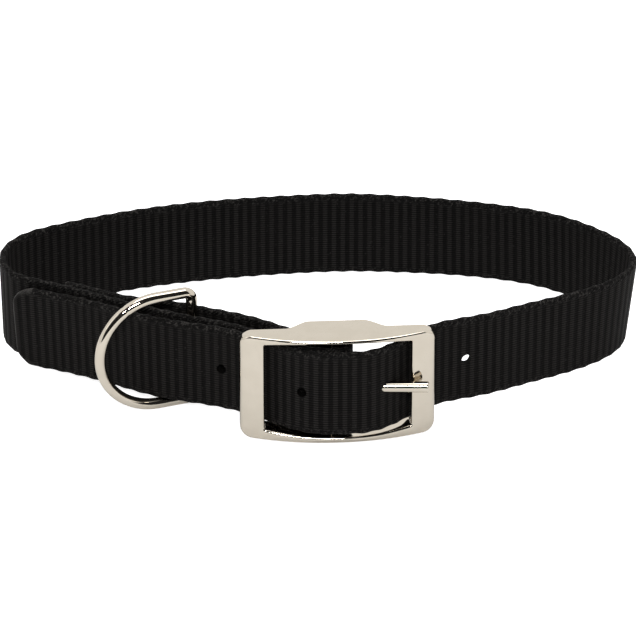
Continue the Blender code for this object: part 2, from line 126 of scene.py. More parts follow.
def smoothStep(value):
    # 3v^2 - 2v^3 between 0 and 1
    value = np.clip(value, 0.0, 1.0)
    return value * value * (3.0 - 2.0 * value)


def unit(vectors):
    return vectors / np.linalg.norm(vectors, axis=-1, keepdims=True)


def outward(points):
    # left-hand normal of a path that runs clockwise seen from above
    tangent = unit(np.gradient(points[:, :2], axis=0))
    return np.column_stack((-tangent[:, 1], tangent[:, 0]))


def travelled(points):
    steps = np.linalg.norm(np.diff(points[:, :2], axis=0), axis=1)
    return np.concatenate(([0.0], np.cumsum(steps)))


def readAlong(places, distance, columns):
    return np.column_stack([np.interp(places, distance, column) for column in columns.T])


def splineThrough(knots, start, end, step):
    # cubic Hermite spans whose slopes solve the three-term spline equations on chord lengths
    chord = np.linalg.norm(np.diff(knots[:, :2], axis=0), axis=1)
    before, after = chord[:-1, None], chord[1:, None]
    rise = np.diff(knots, axis=0) / chord[:, None]
    matrix = np.eye(len(knots))
    inner = np.arange(1, len(knots) - 1)
    matrix[inner, inner - 1] = after[:, 0]
    matrix[inner, inner] = 2.0 * (before + after)[:, 0]
    matrix[inner, inner + 1] = before[:, 0]
    right = np.zeros_like(knots)
    right[0, :2], right[-1, :2] = start, end
    right[1:-1] = 3.0 * (after * rise[:-1] + before * rise[1:])
    slope = np.linalg.solve(matrix, right)
    place = np.concatenate(([0.0], np.cumsum(chord)))
    at = np.linspace(0.0, place[-1], int(place[-1] / step) + 1)
    span = np.clip(np.searchsorted(place, at, side="right") - 1, 0, len(chord) - 1)
    t = ((at - place[span]) / chord[span])[:, None]
    length = chord[span][:, None]
    return ((2 * t**3 - 3 * t**2 + 1) * knots[span] + (t**3 - 2 * t**2 + t) * length * slope[span]
            + (3 * t**2 - 2 * t**3) * knots[span + 1] + (t**3 - t**2) * length * slope[span + 1])


def fromBuckle(across, back):
    cos, sin = math.cos(buckleLook["turn"]), math.sin(buckleLook["turn"])
    return np.stack((across * cos - back * sin, across * sin + back * cos), axis=-1)


def frontFace(across):
    # bowed front of the buckle, bow * share^2 behind its middle
    share = across / (buckleLook["width"] / 2)
    return buckleLook["bow"] * share**2 - buckleLook["barSetback"]


windowHalf = buckleLook["width"] / 2 - buckleLook["sideBarWidth"]
foldRadius = buckleLook["barDiameter"] / 2 + buckleLook["metalGap"] + strapLook["thickness"] / 2
plyPitch = strapLook["thickness"] + strapLook["plyGap"]


def loopPath():
    # middle of the strap from the bar's front, left round the loop, to above the bar
    side, half = buckleLook["sideBarDepth"], strapLook["thickness"] / 2
    outer, over = buckleLook["width"] / 2, foldRadius + plyPitch

    def behindSide(across, slack):
        return frontFace(across) + side + slack + half

    leftSlack, rightSlack = strapLook["slackLeft"], strapLook["slackRight"]
    first = np.array([
        (0.0, -foldRadius),
        (-foldRadius, -0.97 * foldRadius),
        (-windowHalf + 0.67 * plyPitch, behindSide(windowHalf, 0.30 * leftSlack) + 0.74 * plyPitch),
        (-outer + 0.50 * plyPitch, behindSide(outer, leftSlack) + 0.87 * plyPitch),
    ])
    last = np.array([
        (outer, behindSide(outer, rightSlack)),
        (windowHalf, behindSide(windowHalf, 0.22 * rightSlack)),
        (2.1 * foldRadius, -0.97 * over),
        (0.0, -over),
    ])
    reach = np.where(loopRows[:, 0] < 0, strapLook["leftReach"], strapLook["rightReach"])
    middle = np.column_stack((
        loopRows[:, 0] * reach, loopRows[:, 1] * strapLook["loopDepth"], np.radians(loopRows[:, 2]),
    ))
    ends = [np.column_stack((fromBuckle(e[:, 0], e[:, 1]), np.zeros(len(e)))) for e in (first, last)]
    left = fromBuckle(-1.0, 0.0)
    return splineThrough(np.vstack((ends[0], middle, ends[1])), left, left, strapLook["step"])


loop = loopPath()
loopDistance = travelled(loop)
loopNormal = outward(loop)


def foldSpread(distance):
    # how far inside the loop the sewn-back ply lies, wider where the ring's bar sits
    wire = ringLook["wire"]
    atRing = strapLook["thickness"] + wire + 2.0 * buckleLook["metalGap"]
    spread = 2.0 * foldRadius + (atRing - 2.0 * foldRadius) * smoothStep(distance / ringLook["distance"])
    closing = (distance - ringLook["distance"] - wire) / (7.0 * wire)
    return spread + (plyPitch - atRing) * smoothStep(closing)


def plyPoints(distance, shift):
    # places along the loop moved outward by shift: x, y and lean, and the outward normal there
    spot = readAlong(distance, loopDistance, loop)
    normal = unit(readAlong(distance, loopDistance, loopNormal))
    spot[:, :2] += normal * np.reshape(shift, (-1, 1))
    return spot, normal


def strapPath():
    # fold-back ply, half turn round the bar, loop, and the free end over it, in one line
    back = np.arange(0.0, strapLook["foldBackLength"], strapLook["step"])[::-1]
    folded, _ = plyPoints(back, -foldSpread(back))
    angle = np.radians(np.linspace(90.0, -90.0, 26))[1:-1]
    turn = fromBuckle(foldRadius * np.cos(angle), foldRadius * np.sin(angle))
    turn = np.column_stack((turn, np.zeros(len(turn))))
    out = np.arange(strapLook["step"], strapLook["tailLength"] + 1e-6, strapLook["step"])
    share = out / strapLook["tailLength"]
    lean = strapLook["tipLean"] * share
    bulge = strapLook["tailBulge"] * np.exp(-((out - strapLook["bulgePlace"]) / strapLook["bulgeReach"]) ** 2)
    tail, _ = plyPoints(out, plyPitch + bulge + strapLook["width"] / 2 * np.sin(lean))
    tail[:, 2] += lean
    line = np.vstack((folded, turn, loop, tail))
    drop = np.zeros(len(line))
    drop[-len(out):] = strapLook["tipDroop"] * share**5
    return line, drop, len(folded) + len(turn) + len(loop) - 1


line, lineDrop, overBar = strapPath()
lineDistance = travelled(line)
lineLength = lineDistance[-1]


# the stand: hinge of the ring in plan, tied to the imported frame's own hinge

def ringHinge():
    inset = strapLook["thickness"] / 2 + buckleLook["metalGap"] + ringLook["wire"] / 2
    spot, facing = plyPoints(np.array([ringLook["distance"]]), -inset)
    alongStrap = math.atan2(facing[0, 0], -facing[0, 1])
    share = (ringLook["distance"] + ringLook["reach"] / 2) / strapLook["tailLength"]
    lowest = -strapLook["width"] / 2 - strapLook["tipDroop"] * share**5
    lowest -= ringLook["edgeGap"] + ringLook["wire"]
    height = lowest + ringLook["height"] / 2
    return Vector((*spot[0, :2], height)), math.pi + alongStrap + ringLook["rest"]


ringPlace, ringDirection = ringHinge()
swing = next(joint for joint in frame["joints"] if joint["name"] == "d_ring_swing")
tilt = math.atan2(swing["axis"][1], swing["axis"][2])
tipped = Matrix.Rotation(-tilt, 4, "X")
standMatrix = Matrix.Translation(Vector(swing["pos_m"]) - tipped @ ringPlace) @ tipped
standTurn = np.array(standMatrix.to_3x3())
standShift = np.array(standMatrix.translation)


def stand(points):
    return points @ standTurn.T + standShift


print("strap length %.1f mm, bar at %s" % (1000 * lineLength, np.round(1000 * standShift, 2)))


# meshes

def skin(name, points, loopAlong=False, uv=None):
    # quads over points[row, column], closed round the columns, with a cap at each open end
    rows, columns = points.shape[:2]
    last = rows if loopAlong else rows - 1
    row, column = np.meshgrid(np.arange(last), np.arange(columns), indexing="ij")
    nextRow, nextColumn = (row + 1) % rows, (column + 1) % columns
    quads = np.stack((
        row * columns + column, row * columns + nextColumn,
        nextRow * columns + nextColumn, nextRow * columns + column,
    ), axis=-1).reshape(-1, 4)
    corners = [quads.ravel()]
    starts = [np.arange(len(quads)) * 4]
    if not loopAlong:
        ring = np.arange(columns)
        corners += [ring[::-1], (rows - 1) * columns + ring]
        starts.append(np.array([4 * len(quads), 4 * len(quads) + columns]))
    corners = np.concatenate(corners).astype(np.int32)
    starts = np.concatenate(starts).astype(np.int32)
    mesh = bpy.data.meshes.new(name)
    mesh.vertices.add(rows * columns)
    mesh.vertices.foreach_set("co", stand(points.reshape(-1, 3)).astype(np.float32).ravel())
    mesh.loops.add(len(corners))
    mesh.loops.foreach_set("vertex_index", corners)
    mesh.polygons.add(len(starts))
    mesh.polygons.foreach_set("loop_start", starts)
    mesh.update(calc_edges=True)
    if uv is not None:
        # uv holds one more column than points, so that the seam closes on its own value
        along, around = uv
        quadAlong = np.stack((row, row, row + 1, row + 1), axis=-1).reshape(-1, 4)
        quadAround = np.stack((column, column + 1, column + 1, column), axis=-1).reshape(-1, 4)
        along = np.append(along, along[-1])
        values = np.zeros((len(corners), 2), np.float32)
        values[:quads.size, 0] = along[quadAlong.ravel()]
        values[:quads.size, 1] = around[quadAround.ravel()]
        values[quads.size:, 0] = along[np.minimum(corners[quads.size:] // columns, rows - 1)]
        layer = mesh.uv_layers.new(name="weave")
        layer.data.foreach_set("uv", values.ravel())
    mesh.validate()
    return mesh


def turnedOut(mesh):
    # turns the faces round where the mesh's signed volume comes out negative
    mesh.calc_loop_triangles()
    corners = np.zeros(len(mesh.loop_triangles) * 3, np.int32)
    mesh.loop_triangles.foreach_get("vertices", corners)
    places = np.zeros(len(mesh.vertices) * 3)
    mesh.vertices.foreach_get("co", places)
    a, b, c = places.reshape(-1, 3)[corners.reshape(-1, 3)].transpose(1, 0, 2)
    if np.einsum("ij,ij->i", a, np.cross(b, c)).sum() < 0:
        mesh.flip_normals()
    return mesh


def joined(name, meshes):
    # several closed shells in one mesh
    places, corners, starts, base, loops = [], [], [], 0, 0
    for mesh in meshes:
        turnedOut(mesh)
        co = np.zeros(len(mesh.vertices) * 3, np.float32)
        mesh.vertices.foreach_get("co", co)
        index = np.zeros(len(mesh.loops), np.int32)
        mesh.loops.foreach_get("vertex_index", index)
        start = np.zeros(len(mesh.polygons), np.int32)
        mesh.polygons.foreach_get("loop_start", start)
        places.append(co)
        corners.append(index + base)
        starts.append(start + loops)
        base += len(mesh.vertices)
        loops += len(index)
        bpy.data.meshes.remove(mesh)
    whole = bpy.data.meshes.new(name)
    whole.vertices.add(base)
    whole.vertices.foreach_set("co", np.concatenate(places))
    whole.loops.add(loops)
    whole.loops.foreach_set("vertex_index", np.concatenate(corners))
    whole.polygons.add(sum(len(s) for s in starts))
    whole.polygons.foreach_set("loop_start", np.concatenate(starts))
    whole.update(calc_edges=True)
    return whole


def piece(name, mesh, material, body, replaces=(), sharp=50.0):
    turnedOut(mesh)
    mesh.shade_smooth()
    mesh.set_sharp_from_angle(angle=math.radians(sharp))
    mesh.materials.clear()
    mesh.materials.append(material)
    made = bpy.data.objects.new(name, mesh)
    bpy.context.scene.collection.objects.link(made)
    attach(made, body)
    if replaces:
        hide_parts(*replaces)
    return made


def alongFrame(path):
    # sideways and upward unit vectors of a wire in space, kept from twisting by the z axis
    tangent = unit(np.gradient(path, axis=0))
    side = unit(np.cross(tangent, (0.0, 0.0, 1.0)))
    return tangent, side, np.cross(side, tangent)


def tube(name, path, halfSide, halfUp, sides):
    # ellipse of halfSide by halfUp carried along a path in space
    _, side, up = alongFrame(path)
    angle = np.linspace(0.0, 2.0 * math.pi, sides, endpoint=False)
    points = (path[:, None, :]
              + (np.reshape(halfSide, (-1, 1)) * np.cos(angle))[..., None] * side[:, None, :]
              + (np.reshape(halfUp, (-1, 1)) * np.sin(angle))[..., None] * up[:, None, :])
    return skin(name, points)


# materials

class Nodes:
    def __init__(self, tree):
        self.tree = tree
        self.column = 0

    def add(self, kind, settings=None, **inputs):
        node = self.tree.nodes.new(kind)
        self.column += 1
        node.location = (180 * (self.column % 12), -240 * (self.column // 12))
        for key, value in (settings or {}).items():
            setattr(node, key, value)
        for key, value in inputs.items():
            socket = node.inputs[int(key[1:])] if key[0] == "i" and key[1:].isdigit() else node.inputs[key.replace("_", " ")]
            self.set(socket, value)
        return node

    def set(self, socket, value):
        if isinstance(value, bpy.types.NodeSocket):
            self.tree.links.new(value, socket)
        elif isinstance(value, bpy.types.Node):
            self.tree.links.new(value.outputs[0], socket)
        else:
            socket.default_value = value

    def math(self, operation, first, second=0.0, third=None):
        inputs = {"i0": first, "i1": second}
        if third is not None:
            inputs["i2"] = third
        return self.add("ShaderNodeMath", {"operation": operation}, **inputs).outputs[0]

    def mix(self, factor, first, second):
        node = self.add("ShaderNodeMix", {"data_type": "RGBA"})
        self.set(node.inputs[0], factor)
        self.set(node.inputs[6], first)
        self.set(node.inputs[7], second)
        return node.outputs[2]

    def spread(self, value, low, high, toLow, toHigh):
        node = self.add("ShaderNodeMapRange", {"interpolation_type": "SMOOTHSTEP"})
        for index, number in enumerate((value, low, high, toLow, toHigh)):
            self.set(node.inputs[index], number)
        return node.outputs[0]


def newGroup(name, inputs, outputs):
    tree = bpy.data.node_groups.new(name, "ShaderNodeTree")
    for socket, kind, value in inputs:
        made = tree.interface.new_socket(socket, in_out="INPUT", socket_type=kind)
        if value is not None:
            made.default_value = value
    for socket, kind in outputs:
        tree.interface.new_socket(socket, in_out="OUTPUT", socket_type=kind)
    nodes = Nodes(tree)
    return nodes, tree.nodes.new("NodeGroupInput"), tree.nodes.new("NodeGroupOutput")


def newMaterial(name):
    material = bpy.data.materials.new(name)
    material.use_nodes = True
    material.node_tree.nodes.clear()
    nodes = Nodes(material.node_tree)
    shader = nodes.add("ShaderNodeBsdfPrincipled")
    output = nodes.add("ShaderNodeOutputMaterial")
    nodes.set(output.inputs["Surface"], shader.outputs[0])
    return material, nodes, shader


def weaveGroup():
    # ribs across the strap and warp yarns along it. The rib is a raised cosine of the place
    # along, moved by Stagger one way or the other on alternate yarns (left at 0, so unmoved), and each yarn is |sin|
    nodes, given, out = newGroup("weavePattern", [
        ("Along", "NodeSocketFloat", 0.0),
        ("Across", "NodeSocketFloat", 0.0),
        ("Rib Pitch", "NodeSocketFloat", 0.00256),
        ("Yarn Pitch", "NodeSocketFloat", 0.00071),
        ("Stagger", "NodeSocketFloat", 0.0),
    ], [("Height", "NodeSocketFloat"), ("Gap", "NodeSocketFloat"), ("Yarn", "NodeSocketFloat")])
    ribs = nodes.math("DIVIDE", given.outputs["Along"], given.outputs["Rib Pitch"])
    yarns = nodes.math("DIVIDE", given.outputs["Across"], given.outputs["Yarn Pitch"])
    parity = nodes.math("PINGPONG", nodes.math("FLOOR", yarns), 1.0)
    side = nodes.math("MULTIPLY_ADD", parity, 2.0, -1.0)
    moved = nodes.math("MULTIPLY_ADD", side, given.outputs["Stagger"], ribs)
    wave = nodes.math("COSINE", nodes.math("MULTIPLY", moved, 2.0 * math.pi))
    rib = nodes.math("MULTIPLY_ADD", wave, 0.5, 0.5)
    rib = nodes.math("POWER", rib, 0.6)
    yarn = nodes.math("ABSOLUTE", nodes.math("SINE", nodes.math("MULTIPLY", yarns, math.pi)))
    yarn = nodes.math("POWER", yarn, 0.5)
    height = nodes.math("MULTIPLY_ADD", rib, 0.52, nodes.math("MULTIPLY", yarn, 0.48))
    nodes.set(out.inputs["Height"], height)
    nodes.set(out.inputs["Gap"], nodes.math("SUBTRACT", 1.0, rib))
    nodes.set(out.inputs["Yarn"], yarn)
    return nodes.tree


def lintGroup():
    # sparse pale specks and a slow change of tone, from object coordinates
    nodes, given, out = newGroup("lintAndTone", [
        ("Scale", "NodeSocketFloat", 900.0),
        ("Tone Scale", "NodeSocketFloat", 60.0),
    ], [("Speck", "NodeSocketFloat"), ("Tone", "NodeSocketFloat")])
    place = nodes.add("ShaderNodeTexCoord").outputs["Object"]
    fine = nodes.add("ShaderNodeTexNoise", None, Vector=place, Scale=given.outputs["Scale"], Detail=1.0)
    nodes.set(out.inputs["Speck"], nodes.spread(fine.outputs[0], 0.66, 0.80, 0.0, 1.0))
    slow = nodes.add("ShaderNodeTexNoise", None, Vector=place, Scale=given.outputs["Tone Scale"], Detail=3.0)
    nodes.set(out.inputs["Tone"], nodes.spread(slow.outputs[0], 0.3, 0.7, 0.0, 1.0))
    return nodes.tree


def useGroup(nodes, tree, **inputs):
    node = nodes.add("ShaderNodeGroup", {"node_tree": tree})
    for key, value in inputs.items():
        nodes.set(node.inputs[key.replace("_", " ")], value)
    return node


weavePattern = weaveGroup()
lintAndTone = lintGroup()


def webbingMaterial():
    material, nodes, shader = newMaterial("blackNylonWebbing")
    uv = nodes.add("ShaderNodeUVMap", {"uv_map": "weave"})
    split = nodes.add("ShaderNodeSeparateXYZ", None, i0=uv.outputs[0])
    along = nodes.math("MULTIPLY", split.outputs[0], 0.01)
    across = nodes.math("MULTIPLY", split.outputs[1], 0.01)
    weave = useGroup(nodes, weavePattern, Along=along, Across=across,
                     Rib_Pitch=strapLook["ribPitch"], Yarn_Pitch=strapLook["yarnPitch"])
    lint = useGroup(nodes, lintAndTone, Scale=1500.0, Tone_Scale=45.0)
    edge = nodes.add("ShaderNodeAttribute", {"attribute_name": "selvage"}).outputs["Fac"]
    meltAndHighlight = nodes.add("ShaderNodeAttribute", {"attribute_name": "meltedWithHighlight"}).outputs["Fac"]
    # selvage yarns are rough, dark with pale fibres
    place = nodes.add("ShaderNodeTexCoord").outputs["Object"]
    fuzz = nodes.add("ShaderNodeTexNoise", None, Vector=place, Scale=1300.0, Detail=3.0, Roughness=0.7).outputs[0]
    # selvage loops run slantwise over the edge
    slant = nodes.math("MULTIPLY_ADD", across, 1.3, along)
    loops = nodes.math("SINE", nodes.math("MULTIPLY", slant, 2.0 * math.pi / (0.5 * strapLook["ribPitch"])))
    loops = nodes.math("MULTIPLY_ADD", loops, 0.5, 0.5)
    height = nodes.add("ShaderNodeMix", {"data_type": "FLOAT"}, i0=edge, i2=weave.outputs["Height"], i3=loops).outputs[0]
    height = nodes.math("MULTIPLY", height, nodes.math("SUBTRACT", 1.0, nodes.math("MULTIPLY", meltAndHighlight, 0.85)))
    rough = nodes.add("ShaderNodeTexNoise", None, Vector=uv.outputs[0], Scale=38.0, Detail=2.0).outputs[0]
    height = nodes.math("MULTIPLY_ADD", rough, 0.25, height)
    height = nodes.math("MULTIPLY_ADD", nodes.math("MULTIPLY", fuzz, edge), 1.2, height)
    bump = nodes.add("ShaderNodeBump", None, Strength=0.85, Distance=0.00022, Height=height)
    # painted light and shade of the weave: pale lit rib bands, and between them dark gaps in painted shade, crossed by
    # the yarns as short lit dashes
    band = nodes.spread(weave.outputs["Gap"], 0.16, 0.50, 1.0, 0.0)
    litYarnDash = nodes.spread(weave.outputs["Yarn"], 0.72, 0.97, 0.0, 1.0)
    # painted shade: near black in the gaps between ribs, lighter where the yarn crowns would catch light
    gap = nodes.mix(litYarnDash, (0.0001, 0.0001, 0.0001, 1.0), (0.0074, 0.0068, 0.0065, 1.0))
    # painted highlight: the rib tops lighter as if lit, the yarn crowns on them lightest
    pale = nodes.mix(litYarnDash, (0.0040, 0.0037, 0.0035, 1.0), (0.0242, 0.0224, 0.0214, 1.0))
    dark = nodes.mix(band, gap, pale)
    dark = nodes.mix(nodes.math("MULTIPLY", lint.outputs["Tone"], 0.2), dark, (0.0092, 0.0080, 0.0076, 1.0))
    fibre = nodes.mix(nodes.spread(fuzz, 0.50, 0.64, 0.0, 1.0), (0.0040, 0.0037, 0.0036, 1.0), (0.045, 0.042, 0.040, 1.0))
    dark = nodes.mix(nodes.math("MULTIPLY", edge, 0.85), dark, fibre)
    dark = nodes.mix(nodes.math("MULTIPLY", lint.outputs["Speck"], 0.35), dark, (0.045, 0.043, 0.040, 1.0))
    # painted highlight: the melted ends are made lighter as if catching light; their real gloss and flattened weave
    # come from the roughness and bump
    dark = nodes.mix(nodes.math("MULTIPLY", meltAndHighlight, 0.85), dark, (0.045, 0.042, 0.040, 1.0))
    nodes.set(shader.inputs["Base Color"], dark)
    nodes.set(shader.inputs["Roughness"], nodes.spread(meltAndHighlight, 0.0, 1.0, 0.66, 0.34))
    shader.inputs["Specular IOR Level"].default_value = 0.06
    shader.inputs["Sheen Weight"].default_value = 0.0
    shader.inputs["Sheen Roughness"].default_value = 0.4
    nodes.set(shader.inputs["Normal"], bump.outputs[0])
    return material


def threadMaterial():
    material, nodes, shader = newMaterial("blackSewingThread")
    lint = useGroup(nodes, lintAndTone, Scale=1800.0, Tone_Scale=300.0)
    place = nodes.add("ShaderNodeTexCoord").outputs["Object"]
    twist = nodes.add("ShaderNodeTexWave", {"bands_direction": "DIAGONAL"}, Vector=place, Scale=700.0, Distortion=1.5)
    colour = nodes.mix(lint.outputs["Tone"], (0.012, 0.011, 0.011, 1.0), (0.024, 0.022, 0.021, 1.0))
    nodes.set(shader.inputs["Base Color"], colour)
    nodes.set(shader.inputs["Roughness"], nodes.spread(lint.outputs["Tone"], 0.0, 1.0, 0.42, 0.6))
    shader.inputs["Specular IOR Level"].default_value = 0.35
    bump = nodes.add("ShaderNodeBump", None, Strength=0.6, Distance=0.00008, Height=twist.outputs["Fac"])
    nodes.set(shader.inputs["Normal"], bump.outputs[0])
    return material


def nickelMaterial():
    material, nodes, shader = newMaterial("polishedNickel")
    place = nodes.add("ShaderNodeTexCoord").outputs["Object"]
    smudge = nodes.add("ShaderNodeTexNoise", None, Vector=place, Scale=220.0, Detail=4.0).outputs[0]
    scratch = nodes.add("ShaderNodeTexNoise", None, Vector=nodes.add(
        "ShaderNodeMapping", None, Vector=place, Scale=(60.0, 900.0, 900.0)).outputs[0], Scale=1.0, Detail=2.0).outputs[0]
    colour = nodes.mix(nodes.spread(smudge, 0.35, 0.65, 0.0, 1.0), (0.63, 0.575, 0.49, 1.0), (0.65, 0.595, 0.51, 1.0))
    nodes.set(shader.inputs["Base Color"], colour)
    shader.inputs["Metallic"].default_value = 1.0
    nodes.set(shader.inputs["Roughness"], nodes.spread(smudge, 0.3, 0.7, 0.045, 0.10))
    bump = nodes.add("ShaderNodeBump", None, Strength=0.12, Distance=0.00002, Height=scratch)
    nodes.set(shader.inputs["Normal"], bump.outputs[0])
    return material


webbing, thread, nickel = webbingMaterial(), threadMaterial(), nickelMaterial()


# webbing strap

def tipHalfWidth(left):
    # half the width where a length is left before the tip with its two round corners
    radius = strapLook["tipRadius"]
    inside = np.clip(radius - left, 0.0, radius)
    return strapLook["width"] / 2 - radius + np.sqrt(radius**2 - inside**2)


def webbingSection(halfThick, halfWidth):
    # flat faces with half-ellipse edges, as (outward, up) for each station, from the foot of
    # the outer face up, over the top edge, down the inner face and round the lower edge
    round_ = strapLook["edgeRound"]
    share = np.linspace(-1.0, 1.0, strapLook["faceColumns"])
    bend = np.linspace(0.0, math.pi, strapLook["edgeColumns"] + 2)[1:-1]
    flat = (halfWidth - round_)[:, None]
    thick = halfThick[:, None]
    out = np.hstack((thick + 0 * share, thick * np.cos(bend), -thick + 0 * share, -thick * np.cos(bend)))
    up = np.hstack((flat * share, flat + round_ * np.sin(bend), -flat * share, -flat - round_ * np.sin(bend)))
    return out, up


def webbingStations():
    fine = np.array([0.0, 0.05, 0.1, 0.18, 0.28, 0.4, 0.55, 0.75, 1.0]) / 1000
    body = np.linspace(fine[-1], lineLength - fine[-1], int((lineLength - 2 * fine[-1]) / strapLook["step"]))
    return np.concatenate((fine[:-1], body, lineLength - fine[::-1][1:]))


def strapFrame(places):
    # middle line, outward and upward vectors at places along the whole strap
    spot = readAlong(places, lineDistance, np.column_stack((line, lineDrop)))
    normal = outward(line)
    kernel = np.ones(5) / 5
    normal = np.column_stack([np.convolve(np.pad(c, 2, mode="edge"), kernel, "valid") for c in normal.T])
    normal = unit(readAlong(places, lineDistance, normal))
    lean = spot[:, 2]
    middle = np.column_stack((spot[:, :2], -spot[:, 3]))
    side = np.column_stack((normal * np.cos(lean)[:, None], -np.sin(lean)))
    rise = np.column_stack((normal * np.sin(lean)[:, None], np.cos(lean)))
    return middle, side, rise


def webbingPoints(places):
    middle, side, rise = strapFrame(places)
    random = np.random.default_rng(7)
    wander = np.interp(places, np.linspace(0, lineLength, 160), random.normal(0.0, 0.00006, 160))
    phase = 2.0 * math.pi * (places + wander) / strapLook["ribPitch"]
    rib = np.cos(phase)
    left = np.minimum(places, lineLength - places)
    closing = np.sqrt(np.clip(1.0 - (1.0 - np.clip(left / 0.0007, 0.0, 1.0)) ** 2, 0.05, 1.0))
    halfThick = (strapLook["thickness"] / 2 - 0.00009 + strapLook["ribHeight"] * 0.5 * rib) * closing
    atTip = lineLength - places
    width = tipHalfWidth(np.clip(atTip, 0.0, None))
    width = np.minimum(width, strapLook["width"] / 2 - 0.0004 * (1.0 - np.clip(places / 0.0008, 0, 1)) ** 2)
    out, up = webbingSection(halfThick, width - 0.5 * strapLook["edgeLoop"])
    # selvage loops: every second pick turns back at each edge
    loopWave = np.abs(np.cos(phase / 4.0))[:, None] ** 1.5
    otherWave = np.abs(np.sin(phase / 4.0))[:, None] ** 1.5
    near = smoothStep((np.abs(up) - (width[:, None] - 0.0022)) / 0.0016)
    up = up + np.where(up > 0, loopWave, -otherWave) * near * strapLook["edgeLoop"] * np.clip(left / 0.004, 0, 1)[:, None]
    points = middle[:, None, :] + out[..., None] * side[:, None, :] + up[..., None] * rise[:, None, :]
    return points, out, up


def rodMesh(name, start, end, radius, sides=32):
    path = np.linspace(start, end, 2)
    return skin(name, tubeRing(path, radius, sides))


def tubeRing(path, radius, sides):
    tangent = unit(np.gradient(path, axis=0))
    helper = np.where(np.abs(tangent[:, 2:3]) > 0.9, (1.0, 0.0, 0.0), (0.0, 0.0, 1.0))
    side = unit(np.cross(tangent, helper))
    up = np.cross(side, tangent)
    angle = np.linspace(0.0, 2.0 * math.pi, sides, endpoint=False)
    radius = np.reshape(radius, (-1, 1))
    return (path[:, None, :] + (radius * np.cos(angle))[..., None] * side[:, None, :]
            + (radius * np.sin(angle))[..., None] * up[:, None, :])


def tongueLine():
    wire, gap = tongueLook["wire"], buckleLook["metalGap"]
    eye = buckleLook["barDiameter"] / 2 + gap + wire * 0.43
    atSide = frontFace(windowHalf) - wire / 2 - gap
    atEye = wire / 2 - eye
    tip = windowHalf + tongueLook["overlap"] * buckleLook["sideBarWidth"]
    return atEye, (atSide - atEye) / windowHalf, tip, eye


atEye, tongueSlope, tongueTip, eyeRadius = tongueLine()


def tongueCrossing():
    # length of loop before the bar's front where the tongue's line meets the strap
    cos, sin = math.cos(buckleLook["turn"]), math.sin(buckleLook["turn"])
    across = loop[:, 0] * cos + loop[:, 1] * sin
    back = -loop[:, 0] * sin + loop[:, 1] * cos
    above = back - atEye - tongueSlope * across
    last = np.flatnonzero((above[:-1] > 0) & (above[1:] <= 0))[-1]
    share = above[last] / (above[last] - above[last + 1])
    return loopDistance[-1] - loopDistance[last] - share * (loopDistance[last + 1] - loopDistance[last])


def cutters():
    made = []
    start = (*fromBuckle(1.6 * eyeRadius, atEye + tongueSlope * 1.6 * eyeRadius), 0.0)
    end = (*fromBuckle(tongueTip, atEye + tongueSlope * tongueTip), 0.0)
    made.append(rodMesh("tongueCutter", start, end, tongueLook["wire"] / 2 + buckleLook["metalGap"] * 0.8))
    first = lineDistance[overBar] - tongueCrossing() - holeLook["pull"]
    places = first + holeLook["pitch"] * np.array(holeLook["places"])
    middle, side, _ = strapFrame(places)
    reach = strapLook["thickness"] / 2 + strapLook["plyGap"] / 2
    for number in range(len(places)):
        made.append(rodMesh("holeCutter%d" % number, middle[number] - side[number] * reach,
                            middle[number] + side[number] * reach, holeLook["diameter"] / 2))
    front = foldRadius + strapLook["thickness"] / 2 + strapLook["plyGap"] / 2
    halfHeight = tongueLook["wire"] / 2 + 2.0 * buckleLook["metalGap"]
    far = front + buckleLook["metalGap"]
    plan = fromBuckle(np.array([-tongueLook["slotLength"], far, far, -tongueLook["slotLength"]]),
                      np.array([-front, -front, far, far]))
    box = np.stack([np.column_stack((plan, np.full(4, z))) for z in (-halfHeight, halfHeight)])
    made.append(skin("slotCutter", box))
    return made, middle


def cutWebbing(mesh, tools):
    # takes the punched holes and the slot out of the strap, then keeps the plain result
    made = bpy.data.objects.new("webbingBlank", mesh)
    bpy.context.scene.collection.objects.link(made)
    helpers = []
    for tool in tools:
        helper = bpy.data.objects.new(tool.name, turnedOut(tool))
        bpy.context.scene.collection.objects.link(helper)
        cut = made.modifiers.new(tool.name, "BOOLEAN")
        cut.operation, cut.solver, cut.object = "DIFFERENCE", "EXACT", helper
        helpers.append(helper)
    bpy.context.view_layer.update()
    shape = made.evaluated_get(bpy.context.evaluated_depsgraph_get())
    result = bpy.data.meshes.new_from_object(shape)
    for old in helpers + [made]:
        bpy.data.objects.remove(old, do_unlink=True)
    return result


def addFloat(mesh, name, values):
    layer = mesh.attributes.new(name, "FLOAT", "POINT")
    layer.data.foreach_set("value", values.astype(np.float32))


places = webbingStations()
points, sectionOut, sectionUp = webbingPoints(places)
halfWidth = strapLook["width"] / 2
perimeter = np.concatenate(([0.0], np.cumsum(np.hypot(
    np.diff(sectionOut[len(places) // 2]), np.diff(sectionUp[len(places) // 2])))))
perimeter = np.append(perimeter, perimeter[-1] + strapLook["edgeRound"] * 0.5) - perimeter[strapLook["faceColumns"] // 2]
strapMesh = turnedOut(skin("webbing", points, uv=(places * 100, perimeter * 100)))
tools, holeMiddles = cutters()
left = np.minimum(np.abs(lineLength - places), places)
nearEdge = np.clip((np.abs(sectionUp) - (halfWidth - 0.0021)) / 0.0009, 0.0, 1.0)
tipOnly = np.clip(1.0 - (lineLength - places) / 0.0011, 0.0, 1.0)[:, None] * np.ones_like(sectionUp)
corner = np.clip(1.0 - (tipHalfWidth(np.clip(lineLength - places, 0, None))[:, None] - np.abs(sectionUp)) / 0.0011, 0.0, 1.0)
corner *= (lineLength - places < strapLook["tipRadius"])[:, None]
startOnly = np.clip(1.0 - places / 0.0011, 0.0, 1.0)[:, None] * np.ones_like(sectionUp)
